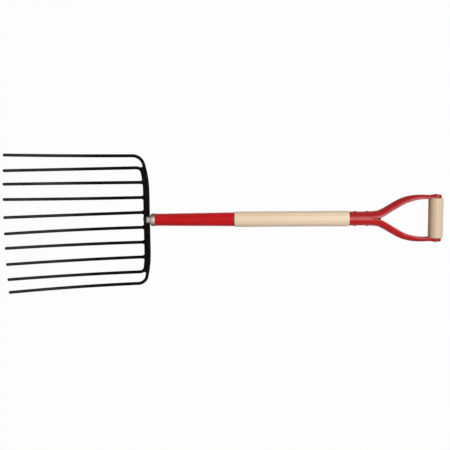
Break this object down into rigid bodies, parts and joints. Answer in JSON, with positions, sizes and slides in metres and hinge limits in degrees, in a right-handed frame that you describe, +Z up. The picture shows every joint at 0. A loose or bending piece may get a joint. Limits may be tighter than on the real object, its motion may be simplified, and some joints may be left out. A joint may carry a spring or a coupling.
{
  "type": "ensilage fork",
  "caption": "Wide welded fork head of dished round tines, with a long red ferrule, a straight wooden shaft and a steel D-handle that holds a turned wooden grip.",
  "frame": {"origin": "middle of the bounding box's bottom face, on the floor under the fork as it rests on its bar and on the front edge of its bare shaft", "axes": "+X along the shaft from the tines to the grip, +Y across the head, +Z up, out of the hollow side of the head"},
  "size_m": [1.1072, 0.3515, 0.1098],
  "materials": {
    "black_enamel": "satin black enamel, worn greyer towards the tips",
    "bare_steel": "bare steel, dull where it was forged and brighter on the cap",
    "red_enamel": "glossy red enamel",
    "ash_wood": "pale turned ash under a thin clear lacquer"
  },
  "bodies": {
    "root": {"outer_hoop": "black_enamel", "inner_hoop": "black_enamel", "tine_3": "black_enamel", "tine_4": "black_enamel", "tine_5": "black_enamel", "tine_6": "black_enamel", "tine_7": "black_enamel", "tine_8": "black_enamel", "shank": "bare_steel", "ferrule_cap": "bare_steel", "ferrule": "red_enamel", "tang_pin": "red_enamel", "ferrule_pin": "red_enamel", "yoke_left": "red_enamel", "yoke_right": "red_enamel", "yoke_rivet_front": "red_enamel", "yoke_rivet_rear": "red_enamel", "grip_rivet": "red_enamel", "shaft": "ash_wood", "grip": "ash_wood"}
  },
  "joints": []
}
